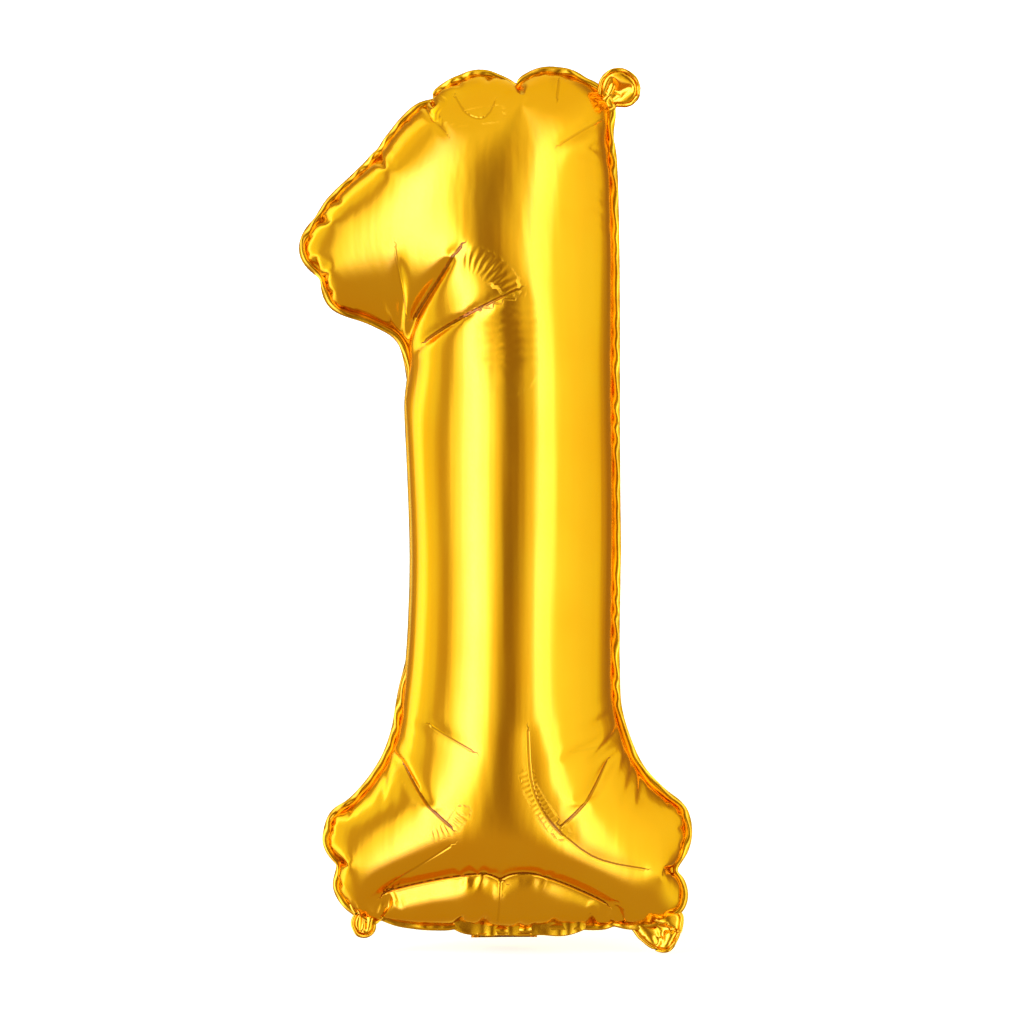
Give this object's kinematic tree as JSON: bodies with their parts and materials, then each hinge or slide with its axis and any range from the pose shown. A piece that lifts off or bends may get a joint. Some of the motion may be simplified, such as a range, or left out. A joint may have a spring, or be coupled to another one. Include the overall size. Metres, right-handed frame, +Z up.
{
  "type": "foil number balloon",
  "caption": "Air-filled metallised film balloon in the shape of the figure one, with a welded rim, corner ears, a self-closing valve and a folding filling tail.",
  "frame": {"origin": "under the middle of the figure's overall width and depth, at the height of its lowest ear", "axes": "+Z up along the upright, +X to the right seen from the front, +Y to the back; the front and rear films meet at Y = 0"},
  "size_m": [0.156, 0.0806, 0.3496],
  "materials": {
    "gold_film": "mirror-bright metallised film tinted gold, crinkled at the seams and inner corners",
    "gold_weld": "two layers of gold metallised film heat-welded together, lightly ribbed and puckered",
    "clear_film": "thin clear polyethylene film"
  },
  "bodies": {
    "envelope": {"front_foil_panel": "gold_film", "rear_foil_panel": "gold_film", "seam_flange": "gold_weld", "top_ear": "gold_weld", "foot_left_ear": "gold_weld", "foot_right_ear": "gold_weld", "valve_neck": "gold_weld"},
    "tail": {"tail_front_foil": "gold_film", "tail_rear_foil": "gold_film", "tail_valve_mouth": "clear_film", "tail_left_weld": "gold_weld", "tail_right_weld": "gold_weld"},
    "front_leaf": {"valve_front_leaf": "clear_film"},
    "rear_leaf": {"valve_rear_leaf": "clear_film"}
  },
  "joints": [
    {"name": "tail_fold", "type": "hinge", "parent": "envelope", "child": "tail", "pos_m": [0.003, 0, 0.0065], "axis": [-1, 0, 0], "range_deg": [0, 180]},
    {"name": "front_leaf_part", "type": "hinge", "parent": "envelope", "child": "front_leaf", "pos_m": [0.003, -0.00035, 0.0122], "axis": [1, 0, 0], "range_deg": [0, 6]},
    {"name": "rear_leaf_part", "type": "hinge", "parent": "envelope", "child": "rear_leaf", "pos_m": [0.003, 0.00035, 0.0122], "axis": [-1, 0, 0], "range_deg": [0, 6]}
  ]
}
